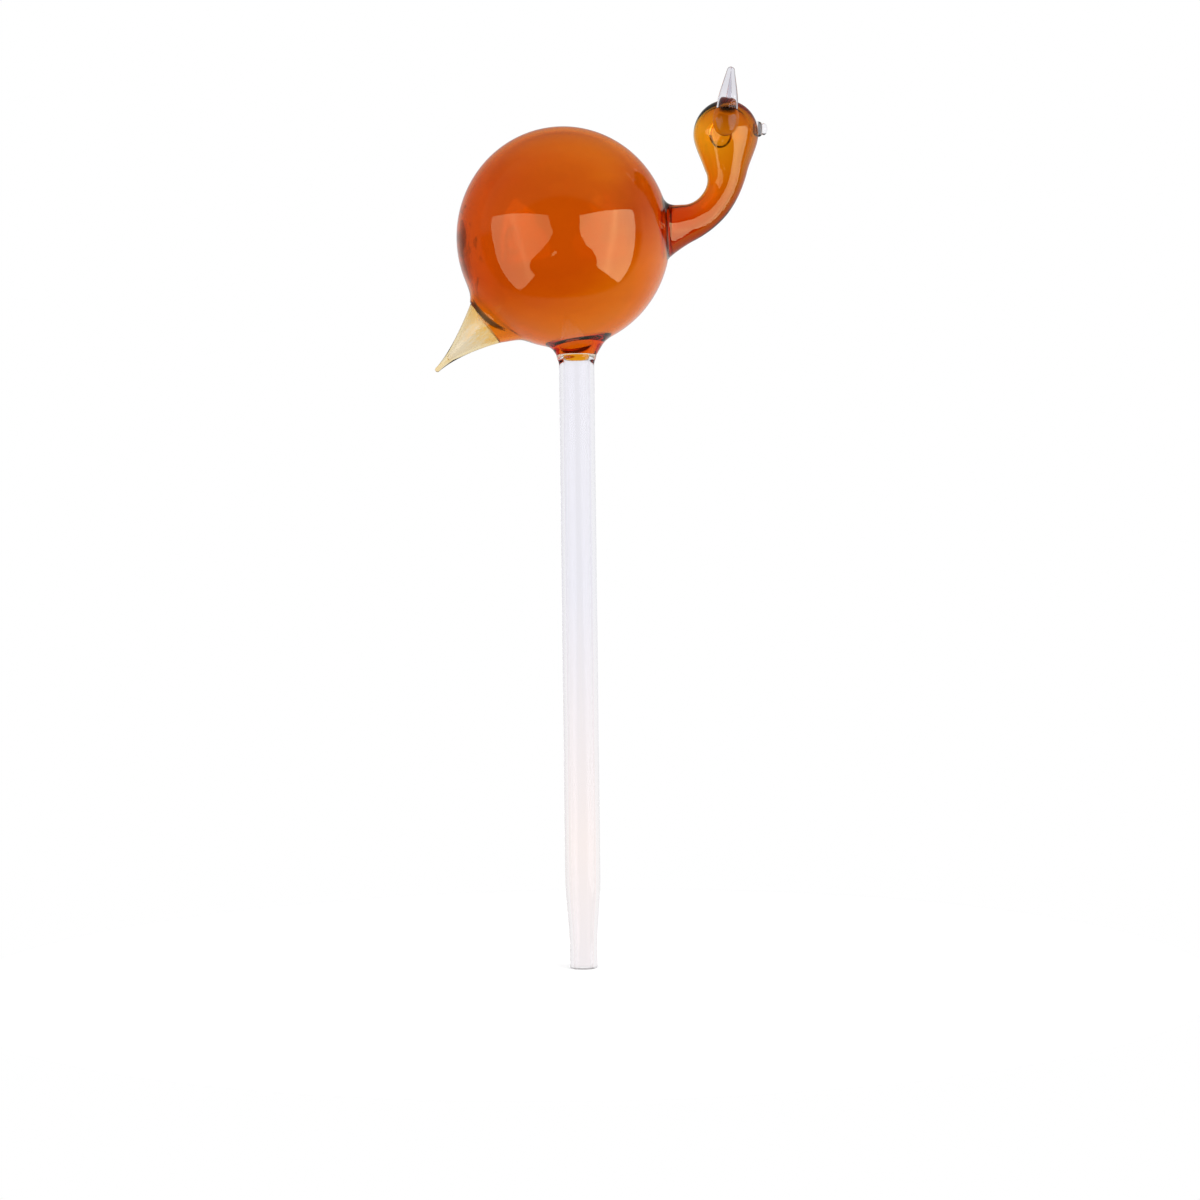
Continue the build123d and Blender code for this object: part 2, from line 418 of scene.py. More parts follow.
def glass(name, tint, absorbed, gleam, smear, ripple, flecks=None, painted_shade=None):
    """absorbed is the light lost in each mm, as natural logarithms. ripple is a stretch and a height."""
    material = bpy.data.materials.new(name)
    material.use_nodes = True
    g = Graph(material.node_tree)
    shader = material.node_tree.nodes["Principled BSDF"]
    stain = g.group(glass_tint, tint).outputs
    colour = stain["Color"]
    rough = g.group(glass_smears, {"Low": 0.0, "High": smear}).outputs[0]
    if flecks:
        colour = g.scaled(colour, g.group(glass_flecks, flecks).outputs[0])
    # Painted shade darkens the colour where it lies and makes the surface rougher there.
    if painted_shade:
        dark = g.group(glass_painted_shade, {**painted_shade, "Swirl": stain["Swirl"]}).outputs[0]
        colour = g.scaled(colour, g.math("SUBTRACT", 1.0, dark))
        rough = g.math("MULTIPLY_ADD", dark, painted_shade_roughness, rough)
    stretch, height = ripple
    wave = g.group(glass_ripple, {"Stretch": stretch}).outputs[0]
    bump = g.node("ShaderNodeBump", {"Strength": 1.0, "Distance": height, "Height": wave})
    g.feed(shader.inputs["Base Color"], colour)
    g.feed(shader.inputs["Roughness"], rough)
    g.feed(shader.inputs["Normal"], bump.outputs[0])
    shader.inputs["IOR"].default_value = glass_ior
    shader.inputs["Specular Tint"].default_value = gleam
    shader.inputs["Transmission Weight"].default_value = 1.0
    densest = max(absorbed)
    inside = g.node("ShaderNodeVolumeAbsorption", {
        "Color": (*[1 - share / densest for share in absorbed], 1), "Density": densest / mm,
    })
    g.feed(material.node_tree.nodes["Material Output"].inputs["Volume"], inside.outputs[0])
    print("glass:", name)
    return material


# %% [markdown]
# ## The seams
# In CAD the pieces only touch. Two glass bodies that only touch would turn light back at the joint, so
# here each piece runs a little way into its neighbour: a ray then enters the second before it leaves the
# first and goes straight on, as it does in fused glass. The other value here is the radius at which a
# closed end stops.

# %% Seam sizes
seam_lap = 0.08 * mm
pole = 0.02 * mm
print("pieces overlap by", seam_lap / mm, "mm")

# %% [markdown]
# ## The stem
# The stem is a clear drawn tube. Its mouth is narrowed and fire-polished, which rounds both rims, and
# its top is flared to meet the globe's collar. A turned profile would do, but the same sweep that makes
# the bent pieces makes a straight one, so its path is just a vertical line with a radius at each height.
# Its glass is nearly clear: a little cool at the top, a little warm below. A thin line of painted shade
# lies on the near side of the mouth's rim, where refraction draws a dark edge.

# %% Stem sizes and glass
stem_length, stem_radius, stem_bore = 199.0 * mm, 5.7 * mm, 4.4 * mm
mouth_radius, mouth_bore, mouth_length, mouth_polish = 4.45 * mm, 3.25 * mm, 6.0 * mm, 0.5 * mm
taper_length, flare_height, collar_radius = 24.0 * mm, 3.2 * mm, 6.5 * mm
draw_ripple, draw_pitch = 0.02 * mm, 7.0 * mm
stem_tint = {
    "Light": (0.925, 0.92, 0.95, 1), "Deep": (0.995, 0.95, 0.935, 1), "Heart": (0, 0, 40),
    "Fade": (0, 0, 0.012), "Grain": (0.8, 0.8, 0.008), "Streaks": 0.4,
}
# Painted shade: a thin dark line on the near side of the mouth's rim.
mouth_rim_painted_shade = {"Start": (-5.6, 0, 0.25), "Run": (11.2, 0, 0), "Width": 0.25, "Depth": 0.6}
clear = glass(
    "clear_glass", stem_tint, absorbed=(0.012, 0.012, 0.009), gleam=(0.18, 0.18, 0.2, 1), smear=0.004,
    ripple=((0.12, 0.12, 0.02), 0.004 * mm), painted_shade=mouth_rim_painted_shade)


# %% Stem
def rim_rounding(z):
    """How far the fire-polished rim falls back at a height near the mouth."""
    short = max(mouth_polish - max(z, 0.0), 0.0)
    return mouth_polish - math.sqrt(mouth_polish ** 2 - short ** 2)


def stem_outside(z):
    lift = smooth((z - mouth_length) / taper_length)
    flare = smooth((z - stem_length + flare_height) / flare_height)
    drawn = draw_ripple * math.sin(z / draw_pitch) * lift
    straight = mix(mouth_radius, stem_radius, lift) - rim_rounding(z)
    return straight + drawn + (collar_radius - stem_radius) * flare


def stem_inside(z):
    return mix(mouth_bore, stem_bore, smooth((z - mouth_length) / taper_length)) + rim_rounding(z)


def heights(low, high):
    """Close steps at the polished mouth and at the flare, wider ones between."""
    mouth = [mouth_polish * (1 - math.cos(share * math.pi / 2)) for share in even(10)]
    shaft = [mix(mouth_polish, stem_length - flare_height, share) for share in even(160)][1:]
    flare = [mix(stem_length - flare_height, stem_length, share) for share in even(16)][1:]
    return [low] * (low < 0) + mouth + shaft + flare + [high] * (high > stem_length)


stem_path = path_object("stem_path", [((0, 0, z), stem_outside(z)) for z in heights(0, stem_length)])
bore_path = path_object(
    "stem_bore_path", [((0, 0, z), stem_inside(z)) for z in heights(-mm, stem_length + mm)])
stem = grown("stem_glass", blown_tube, {
    "Outside": stem_path, "Bore": bore_path, "Sides": 128, "Material": clear,
})

# %% [markdown]
# ## The path of the neck and head
# The neck leaves the globe, bends upright and swells into the head. On the real piece this is one tube,
# blown out at its closed end. Its path is a straight run, one bend and a straight run, and the radius
# follows two rules: it shrinks from the wide root to the waist, then swells into the head and closes in
# a dome. The bore has its own path, moved a little to the inside of the bend, because the outside of a
# bend stays thicker.

# %% Neck sizes and spine
neck_start = Vector((25.6 * mm, 0, 238.25 * mm))
neck_rise, neck_bend = math.radians(16.3), 17.8 * mm
head_x, head_z = 49.4 * mm, 270.15 * mm
corner = Vector((head_x, 0, neck_start.z + (head_x - neck_start.x) * math.tan(neck_rise)))
turn = math.pi / 2 - neck_rise
first_run = (corner - neck_start).length - neck_bend * math.tan(turn / 2)
bend_run = neck_bend * turn
rise_run = head_z - corner.z - neck_bend * math.tan(turn / 2)
spine_length = first_run + bend_run + rise_run


def neck_spine(along):
    """Place on the neck's middle line, and the way it heads there."""
    first = Vector((math.cos(neck_rise), 0, math.sin(neck_rise)))
    if along <= first_run:
        return neck_start + first * along, first
    angle = neck_rise + min((along - first_run) / neck_bend, turn)
    side = Vector((math.sin(neck_rise), 0, -math.cos(neck_rise)))
    centre = neck_start + first * first_run - side * neck_bend
    place = centre + Vector((math.sin(angle), 0, -math.cos(angle))) * neck_bend
    heading = Vector((math.cos(angle), 0, math.sin(angle)))
    return place + heading * max(along - first_run - bend_run, 0.0), heading


print("neck spine", round(spine_length / mm, 2), "mm long")

# %% Neck rings
neck_root, neck_waist, waist_along, root_power = 10.2 * mm, 5.2 * mm, 20.4 * mm, 2.0
root_wall, waist_wall, head_wall, crown_wall = 1.9 * mm, 1.5 * mm, 1.05 * mm, 1.8 * mm
bore_shift = 0.6 * mm
head_radius, head_crown, swell_power = 10.55 * mm, 10.9 * mm, 1.6


def neck_radius(along):
    if along < waist_along:
        return mix(neck_waist, neck_root, (1 - along / waist_along) ** root_power)
    share = min((along - waist_along) / (spine_length - waist_along), 1.0) ** swell_power
    return mix(neck_waist, head_radius, smooth(share))


def neck_wall(along):
    waisted = mix(root_wall, waist_wall, smooth(along / waist_along))
    return mix(waisted, head_wall, smooth((along - waist_along) / (spine_length - waist_along)))


def neck_stations(inset, shift):
    """Rings along the neck and over the head's crown. An inset of 1 is the bore, 0 the outside."""
    stations = []
    root = [share * waist_along / 2 for share in even(140)]
    for along in root + [mix(waist_along / 2, spine_length, share) for share in even(110)][1:]:
        place, heading = neck_spine(along)
        inward = Vector((-heading.z, 0, heading.x))
        stations.append((place + inward * shift, neck_radius(along) - inset * neck_wall(along)))
    wide, high = head_radius - inset * head_wall, head_crown - inset * crown_wall
    for turned in [share * math.pi / 2 for share in even(40)][1:]:
        place = Vector((head_x - shift, 0, head_z + high * math.sin(turned)))
        stations.append((place, max(wide * math.cos(turned), pole)))
    return stations


neck_path = path_object("neck_path", neck_stations(0, 0))
neck_bore_path = path_object("neck_bore_path", neck_stations(1, bore_shift))
print("neck rings:", len(neck_path.data.splines[0].points))

# %% [markdown]
# ## The globe
# The globe is one blown bulb with two drawn-out places: a collar that takes the stem and a skirt that
# takes the tail. Glass flows, so both come out of the bulb in a soft blend, and the skirt's blend is
# tighter on its underside. That is a rule of distances: the distance to an ellipsoid and the distances
# to two cones, joined by a smooth minimum. Geometry Nodes starts with a big ball of points and moves
# each one straight towards the middle by its distance, again and again, until it lies on the blended
# skin. The same tree, with the wall taken off every size, makes the hollow.

# %% Globe sizes
globe_half_width, globe_half_height, globe_wall = 34.7 * mm, 35.6 * mm, 1.3 * mm
globe_centre = Vector((-3.75 * mm, 0, 237.1 * mm))
collar_slope, collar_blend = math.tan(math.radians(31)), 2.4 * mm
tail_seat, tail_angle = Vector((-29.37 * mm, 0, 209.82 * mm)), math.radians(36)
tail_out = Vector((-math.cos(tail_angle), 0, -math.sin(tail_angle)))
tail_root, tail_tip, tail_length, tail_power = 8.0 * mm, 0.8 * mm, 21.8 * mm, 1.55
skirt_slope = (tail_root - tail_tip) * tail_power / tail_length
skirt_blend, tight_share, tight_below, full_above = 6.0 * mm, 0.32, 5 * mm, 7 * mm
print("globe is", round(2 * globe_half_width / mm, 1), "mm wide, its skirt slopes by", round(skirt_slope, 3))


# %% Blended bulb rule
def cone_distance(g, place, seat, outward, radius, slope, overrun):
    """Distance to a cone that widens inwards from its seat, cut off past it and deep inside the bulb."""
    steepness = g.math("INVERSE_SQRT", g.math("ADD", g.math("MULTIPLY", slope, slope), 1.0))
    offset = g.vector("SUBTRACT", place, tuple(seat))
    along = g.vector("DOT_PRODUCT", offset, tuple(outward))
    across = g.vector("LENGTH", g.vector("SUBTRACT", offset, g.scaled(tuple(outward), along)))
    wider = g.math("ADD", g.math("SUBTRACT", across, radius), g.math("MULTIPLY", along, slope))
    side = g.math("MULTIPLY", wider, steepness)
    ended = g.math("MAXIMUM", side, g.math("SUBTRACT", along, overrun))
    return g.math("MAXIMUM", ended, g.math("SUBTRACT", g.math("MULTIPLY", along, -1.0), globe_half_width / 2))


def bulb_group():
    tree, g, given, out = new_tree(
        "bulb_distance", geometry,
        [("Half Width", "Float", globe_half_width), ("Half Height", "Float", globe_half_height),
         ("Collar Radius", "Float", collar_radius), ("Collar Slope", "Float", collar_slope),
         ("Skirt Radius", "Float", tail_root), ("Skirt Slope", "Float", skirt_slope),
         ("Overrun", "Float", mm), ("Collar Blend", "Float", collar_blend),
         ("Skirt Blend", "Float", skirt_blend), ("Shift", "Vector", (0, 0, 0))],
        [("Distance", "Float")],
    )
    place = g.node("GeometryNodeInputPosition").outputs[0]
    offset = g.vector("SUBTRACT", g.vector("SUBTRACT", place, tuple(globe_centre)), given["Shift"])
    wide, high = given["Half Width"], given["Half Height"]
    sizes = g.node("ShaderNodeCombineXYZ", {0: wide, 1: wide, 2: high}).outputs[0]
    unit = g.vector("DIVIDE", offset, sizes)
    size = g.vector("LENGTH", unit)
    slope = g.vector("LENGTH", g.vector("DIVIDE", unit, sizes))
    ball = g.math("DIVIDE", g.math("MULTIPLY", size, g.math("SUBTRACT", size, 1.0)), slope)
    collar = cone_distance(
        g, place, (0, 0, stem_length), (0, 0, -1), given["Collar Radius"], given["Collar Slope"],
        given["Overrun"])
    skirt = cone_distance(
        g, place, tail_seat, tail_out, given["Skirt Radius"], given["Skirt Slope"], given["Overrun"])
    softer = g.ramp(g.axes(place)["Z"], tail_seat.z - tight_below, tail_seat.z + full_above, tight_share, 1.0)
    blend = g.math("MULTIPLY", given["Skirt Blend"], softer)
    joined = g.math("SMOOTH_MIN", ball, collar, given["Collar Blend"])
    g.feed(out["Distance"], g.math("SMOOTH_MIN", joined, skirt, blend))
    return tree


bulb_distance = bulb_group()
print("bulb rule:", len(bulb_distance.nodes), "nodes")

# %% Bulb skin
draw_rounds = 60
ball_radius = 1.45 * globe_half_width


def drawn_in(g, mesh, ray, gap):
    """Moves every point back along its ray by the gap that is left, again and again."""
    start = g.node("GeometryNodeRepeatInput")
    end = g.node("GeometryNodeRepeatOutput")
    start.pair_with_output(end)
    start.inputs["Iterations"].default_value = draw_rounds
    g.feed(start.inputs["Geometry"], mesh)
    step = g.scaled(ray, g.math("MULTIPLY", gap, -1.0))
    moved = g.node("GeometryNodeSetPosition", {"Geometry": start.outputs["Geometry"], "Offset": step})
    g.feed(end.inputs["Geometry"], moved.outputs[0])
    return end.outputs["Geometry"]


def skin_group():
    """A ball of points drawn in on to the bulb rule."""
    rule = [(item.name, item.socket_type.removeprefix("NodeSocket"), None)
            for item in bulb_distance.interface.items_tree if item.in_out == "INPUT"]
    tree, g, given, out = new_tree(
        "bulb_skin", geometry, rule + [("Detail", "Int", 7)], [("Mesh", "Geometry")])
    ball = g.node("GeometryNodeMeshIcoSphere", {"Radius": ball_radius, "Subdivisions": given["Detail"]})
    moved = g.node("GeometryNodeTransform", {
        "Geometry": ball.outputs["Mesh"], "Translation": tuple(globe_centre),
    })
    place = g.node("GeometryNodeInputPosition").outputs[0]
    ray = g.vector("NORMALIZE", g.vector("SUBTRACT", place, tuple(globe_centre)))
    gap = g.group(bulb_distance, {name: given[name] for name, kind, value in rule}).outputs[0]
    g.feed(out["Mesh"], drawn_in(g, moved.outputs[0], ray, gap))
    return tree


bulb_skin = skin_group()
print("skin:", bulb_skin.name, "in", draw_rounds, "rounds")

# %% Blown bulb tree
wall_shift = (0, 0, 0.15 * mm)
throat_slope, throat_blend = 0.35, 1.6 * mm
skirt_bore, skirt_inner_blend = 6.5 * mm, 8 * mm
cutter_size = 40 * mm
outer_rule = {
    "Half Width": globe_half_width, "Half Height": globe_half_height, "Collar Radius": collar_radius,
    "Collar Slope": collar_slope, "Skirt Radius": tail_root, "Skirt Slope": skirt_slope, "Overrun": 2 * mm,
    "Collar Blend": collar_blend, "Skirt Blend": skirt_blend,
}


def bulb_tree():
    tree, g, given, out = new_tree(
        "blown_bulb", geometry,
        [("Wall", "Float", globe_wall), ("Inner Collar Blend", "Float", throat_blend),
         ("Inner Skirt Blend", "Float", skirt_inner_blend), ("Neck Bore", "Object", None),
         ("Detail", "Int", 7), ("Material", "Material", None)],
        [("Geometry", "Geometry")],
    )
    outside = g.group(bulb_skin, {**outer_rule, "Detail": given["Detail"]}).outputs[0]
    hollow = g.group(bulb_skin, {
        "Half Width": g.math("SUBTRACT", globe_half_width, given["Wall"]),
        "Half Height": g.math("SUBTRACT", globe_half_height, given["Wall"]),
        "Collar Radius": stem_bore, "Collar Slope": throat_slope, "Skirt Radius": skirt_bore,
        "Skirt Slope": skirt_slope, "Overrun": 4 * mm, "Collar Blend": given["Inner Collar Blend"],
        "Skirt Blend": given["Inner Skirt Blend"], "Detail": given["Detail"], "Shift": wall_shift,
    }).outputs[0]
    bore = g.group(swept_tube, {"Path": given["Neck Bore"], "Sides": 128}).outputs[0]
    block = g.node("GeometryNodeMeshCube", {"Size": (cutter_size,) * 3}).outputs["Mesh"]
    below = Vector((0, 0, stem_length - seam_lap - cutter_size / 2))
    beyond = tail_seat + tail_out * (seam_lap + cutter_size / 2)
    stem_end = g.node("GeometryNodeTransform", {"Geometry": block, "Translation": tuple(below)}).outputs[0]
    tail_end = g.node("GeometryNodeTransform", {
        "Geometry": block, "Translation": tuple(beyond), "Rotation": (0, -tail_angle, 0),
    }).outputs[0]
    finished(g, given, out, cut_away(g, outside, hollow, bore, stem_end, tail_end))
    return tree


blown_bulb = bulb_tree()
print("tree:", blown_bulb.name)

# %% [markdown]
# ## The amber of the globe
# The stain is deepest on the globe's left and fades to yellow towards the right. It is deeper again
# round the neck's root, and a few dark flecks lie above the tail's seam. They could be modelled as small
# bodies, but they are thin, so they are part of the stain. Over the seam lies painted shade: a dark band
# on the near side where refraction darkens the glass, made rough so that it dulls a highlight there. The
# sizes are in millimetres, and a fade is how fast the stain thins out along each axis.

# %% Globe glass and globe
amber_absorbs, amber_gleam = (0.04, 0.36, 1.5), (1.0, 0.78, 0.4, 1)
globe_tint = {
    "Light": (0.985, 0.84, 0.36, 1), "Deep": (0.80, 0.435, 0.15, 1), "Heart": (-16, 0, 239),
    "Fade": (0.034, 0, 0.047), "Reach": 1.9, "Streaks": 0.5,
    "Pool Color": (0.82, 0.62, 0.9, 1), "Pool Place": (24, 0, 249), "Pool Fade": (0.06, 0, 0.05),
}
# Painted shade over the tail's seam: a dark band on the near side, where refraction darkens the glass.
tail_seam_painted_shade = {
    "Start": (-33.3, 0, 217.4), "Run": (11.0, 0, -10.6), "Sag": (-1.4, 0, -1.4), "Width": 0.9, "Depth": 0.86,
}
side_flecks = {"Place": (-36.5, 0, 228), "Fade": (0.22, 0.035, 0.05), "Depth": 0.6}
amber = glass(
    "amber_glass", globe_tint, absorbed=amber_absorbs, gleam=amber_gleam, smear=0.03,
    ripple=((0.03, 0.03, 0.03), 0.02 * mm), flecks=side_flecks, painted_shade=tail_seam_painted_shade)
globe = grown("globe_glass", blown_bulb, {
    "Wall": globe_wall, "Inner Collar Blend": throat_blend, "Inner Skirt Blend": skirt_inner_blend,
    "Neck Bore": neck_bore_path, "Detail": 7, "Material": amber,
})

# %% [markdown]
# ## The neck on the globe
# The neck was fused to the globe, so its root flows out over it, here more on top than below. A plain
# tube would meet the globe in a hard line. So the tube's rings are drawn outwards near the globe until
# they lie on a smooth minimum of tube and globe, and the globe, drawn in by the seam lap, is then
# subtracted as the seat. The neck's glass is the same amber with more red lost in it, which darkens the
# thick crown of the head.

# %% Seat for the neck, and the neck's glass
def seat_tree():
    tree, g, given, out = new_tree(
        "globe_seat", geometry, [("Inset", "Float", seam_lap)], [("Geometry", "Geometry")])
    skin = g.group(bulb_skin, {
        **outer_rule, "Half Width": g.math("SUBTRACT", globe_half_width, given["Inset"]),
        "Half Height": g.math("SUBTRACT", globe_half_height, given["Inset"]), "Detail": 7,
    })
    g.feed(out["Geometry"], skin.outputs[0])
    return tree


globe_seat = grown("globe_seat", seat_tree(), {"Inset": seam_lap})
helpers.append(globe_seat)
neck_tint = {
    "Light": (0.99, 0.69, 0.24, 1), "Deep": (0.965, 0.37, 0.13, 1), "Heart": (28, 0, 242),
    "Fade": (0.045, 0, 0.045), "Reach": 1.4, "Streaks": 0.4,
}
neck_absorbs = (0.15, 0.38, 1.5)
neck_amber = glass(
    "neck_amber_glass", neck_tint, absorbed=neck_absorbs, gleam=amber_gleam, smear=0.02,
    ripple=((0.06, 0.06, 0.06), 0.012 * mm))

# %% Neck
neck_fillet, neck_sides = 5 * mm, 144
fillet_middle, fillet_swing = 0.6, 0.4


def neck_tree():
    """A tube whose rings widen near the globe until they lie on the blend of tube and globe."""
    tree, g, given, out = new_tree(
        "seated_neck", geometry,
        [("Outside", "Object", None), ("Bore", "Object", None), ("Seat", "Object", None),
         ("Fillet", "Float", neck_fillet), ("Material", "Material", None)],
        [("Geometry", "Geometry")],
    )
    kept = g.node("GeometryNodeCaptureAttribute", {"Geometry": object_shape(g, given["Outside"])})
    kept.capture_items.new("VECTOR", "Spine")
    kept.capture_items.new("FLOAT", "Reach")
    radius = g.node("GeometryNodeInputRadius").outputs[0]
    place = g.node("GeometryNodeInputPosition").outputs[0]
    g.feed(kept.inputs["Spine"], place)
    g.feed(kept.inputs["Reach"], radius)
    ring = g.node("GeometryNodeCurvePrimitiveCircle", {"Resolution": neck_sides, "Radius": 1.0})
    tube = g.node("GeometryNodeCurveToMesh", {
        "Curve": kept.outputs["Geometry"], "Profile Curve": ring.outputs[0], "Scale": radius,
        "Fill Caps": True,
    })
    spoke = g.vector("SUBTRACT", place, kept.outputs["Spine"])
    way = g.vector("NORMALIZE", spoke)
    off_tube = g.math("SUBTRACT", g.vector("LENGTH", spoke), kept.outputs["Reach"])
    off_globe = g.math("ADD", g.group(bulb_distance, outer_rule).outputs[0], 1.5 * seam_lap)
    upper = g.math("MULTIPLY_ADD", g.axes(way)["Z"], fillet_swing, fillet_middle)
    gap = g.math("SMOOTH_MIN", off_globe, off_tube, g.math("MULTIPLY", given["Fillet"], upper))
    outside = drawn_in(g, tube.outputs[0], way, gap)
    bore = g.group(swept_tube, {"Path": given["Bore"], "Sides": neck_sides}).outputs[0]
    finished(g, given, out, cut_away(g, outside, bore, object_shape(g, given["Seat"])))
    return tree


neck = grown("neck_and_head_glass", neck_tree(), {
    "Outside": neck_path, "Bore": neck_bore_path, "Seat": globe_seat, "Fillet": neck_fillet,
    "Material": neck_amber,
})

# %% [markdown]
# ## The tail
# The tail was pulled out of a pale gather while it was soft. It flares at the seam, droops a little and
# ends in a small drop. A tube that is swept along a path always has its rings square to the path, but
# here the first ring has to lie on the seam, which is tilted. So the tail is made straight, and each
# ring is then leaned by an angle that grows along the tail. Its hollow follows it for most of the way.
# The glass is straw yellow with milky streaks that run along the pull.

# %% Tail sizes, glass and rings
tail_droop, tail_wall, tail_hollow, tail_sides = math.radians(7.5), 0.9 * mm, 0.75, 112
straw_tint = {
    "Light": (0.93, 0.715, 0.35, 1), "Deep": (0.90, 0.875, 0.865, 1), "Heart": (-38, 0, 202),
    "Fade": (0.095, 0.04, 0.095), "Reach": 1.5, "Grain": (0.03, 1.1, 1.1), "Lean": tail_angle + tail_droop,
    "Streaks": 3.5,
}
straw = glass(
    "straw_glass", straw_tint, absorbed=(0.03, 0.09, 0.28), gleam=(0.4, 0.4, 0.4, 1), smear=0.3,
    ripple=((0.3, 0.3, 0.3), 0.01 * mm))


def tail_stations(inset, reach, lead):
    """Rings from the seam at zero height to a round end. A lead starts them ahead of the seam."""
    stations = []
    if lead:
        stations.append(((0, 0, -lead), tail_root - inset + skirt_slope * lead))
    for share in [reach * step for step in even(70)]:
        radius = mix(tail_tip, tail_root, (1 - share) ** tail_power) - inset
        stations.append(((0, 0, share * tail_length), radius))
    for turned in [share * math.pi / 2 for share in even(14)][1:]:
        height = reach * tail_length + radius * math.sin(turned)
        stations.append(((0, 0, height), max(radius * math.cos(turned), pole)))
    return stations


tail_path = path_object("tail_path", tail_stations(0, 1.0, 0))
tail_bore_path = path_object("tail_bore_path", tail_stations(tail_wall, tail_hollow, mm))


# %% Tail
def drawn_tail_tree():
    tree, g, given, out = new_tree(
        "drawn_tail", geometry,
        [("Outside", "Object", None), ("Bore", "Object", None), ("Angle", "Float", tail_angle),
         ("Droop", "Float", tail_droop), ("Sides", "Int", tail_sides), ("Material", "Material", None)],
        [("Geometry", "Geometry")],
    )
    straight = g.group(blown_tube, {name: given[name] for name in ("Outside", "Bore", "Sides", "Material")})
    place = g.axes(g.node("GeometryNodeInputPosition").outputs[0])
    now = g.math("MULTIPLY_ADD", g.math("DIVIDE", place["Z"], tail_length), given["Droop"], given["Angle"])
    run = g.math("ADD", given["Angle"], given["Droop"])
    back = g.math("ADD", g.math("MULTIPLY", place["X"], g.math("SINE", now)),
                  g.math("MULTIPLY", place["Z"], g.math("COSINE", run)))
    up = g.math("SUBTRACT", g.math("MULTIPLY", place["X"], g.math("COSINE", now)),
                g.math("MULTIPLY", place["Z"], g.math("SINE", run)))
    leaned = g.node("ShaderNodeCombineXYZ", {0: g.math("MULTIPLY", back, -1.0), 1: place["Y"], 2: up})
    moved = g.node("GeometryNodeSetPosition", {
        "Geometry": straight.outputs[0], "Position": g.vector("ADD", leaned.outputs[0], tuple(tail_seat)),
    })
    g.feed(out["Geometry"], moved.outputs[0])
    return tree


tail = grown("tail_glass", drawn_tail_tree(), {
    "Outside": tail_path, "Bore": tail_bore_path, "Angle": tail_angle, "Droop": tail_droop,
    "Sides": tail_sides, "Material": straw,
})

# %% [markdown]
# ## The horns
# These are solid drops of clear glass. Each was touched on to the hot head, so it spread against the
# head's side, and was then drawn up to a blunt point. So the drop is made round, pressed flat from side
# to side and leaned forward, and the head, drawn in by the seam lap, is the seat that is subtracted from
# it. Both horns are the same drop, moved to the two sides of the head. Their glass is a little grey
# towards the tips.

# %% Seat on the head, and the glass of the beads
head_path = path_object(
    "head_path", [(place, max(radius - seam_lap, pole)) for place, radius in neck_stations(0, 0)])
head_seat = grown("head_seat", blown_tube, {"Outside": head_path, "Sides": neck_sides})
helpers.append(head_seat)
bead_tint = {
    "Light": (1.0, 0.99, 1.0, 1), "Deep": (0.80, 0.79, 0.83, 1), "Heart": (50, 0, 288),
    "Fade": (0.04, 0, 0.13), "Reach": 1.6, "Streaks": 0.4,
}
# Painted shade on the near side of the nose's collar, where refraction draws dark lines in clear glass.
nose_collar_painted_shade = {"Start": (60.3, 0, 268.6), "Run": (0, 0, 6), "Width": 0.8, "Depth": 0.9}
bead = glass(
    "bead_glass", bead_tint, absorbed=(0.02, 0.02, 0.014), gleam=(0.3, 0.3, 0.33, 1), smear=0.01,
    ripple=((0.1, 0.1, 0.1), 0.01 * mm), painted_shade=nose_collar_painted_shade)

# %% Horn sizes and profile
horn_length, horn_radius, horn_base, horn_tip = 22.3 * mm, 4.2 * mm, 5.5 * mm, 1.25 * mm
horn_lean, base_flatness, tip_flatness = math.radians(6.4), 0.6, 0.85
horn_shoulder, horn_slope = math.radians(35), math.radians(11.5)
horn_foot = Vector((48.3 * mm, -10.4 * mm, 267.55 * mm))


def horn_profile():
    """Height and radius up the drop: a rounded base, a shaft that narrows and a small round tip."""
    turns = [mix(-math.pi / 2, horn_shoulder, share) for share in even(40)]
    base = [(horn_base + horn_base * math.sin(a), horn_radius * math.cos(a)) for a in turns]
    turns = [mix(horn_slope, math.pi / 2, share) for share in even(14)]
    tip = [(horn_length - horn_tip + horn_tip * math.sin(a), horn_tip * math.cos(a)) for a in turns]
    low, high = Vector(base[-1]), Vector(tip[0])
    third = (high - low).length / 3
    low_pull = low + Vector((third, 0))
    high_pull = high - Vector((math.cos(horn_slope), -math.sin(horn_slope))) * third
    shaft = []
    for t in even(50)[1:-1]:
        u = 1 - t
        pulled = low_pull * 3 * u * u * t + high_pull * 3 * u * t * t
        shaft.append(tuple(low * u ** 3 + pulled + high * t ** 3))
    return base + shaft + tip


horn_path = path_object("horn_path", [((0, 0, h), max(radius, pole)) for h, radius in horn_profile()])
print("horn rings:", len(horn_path.data.splines[0].points))


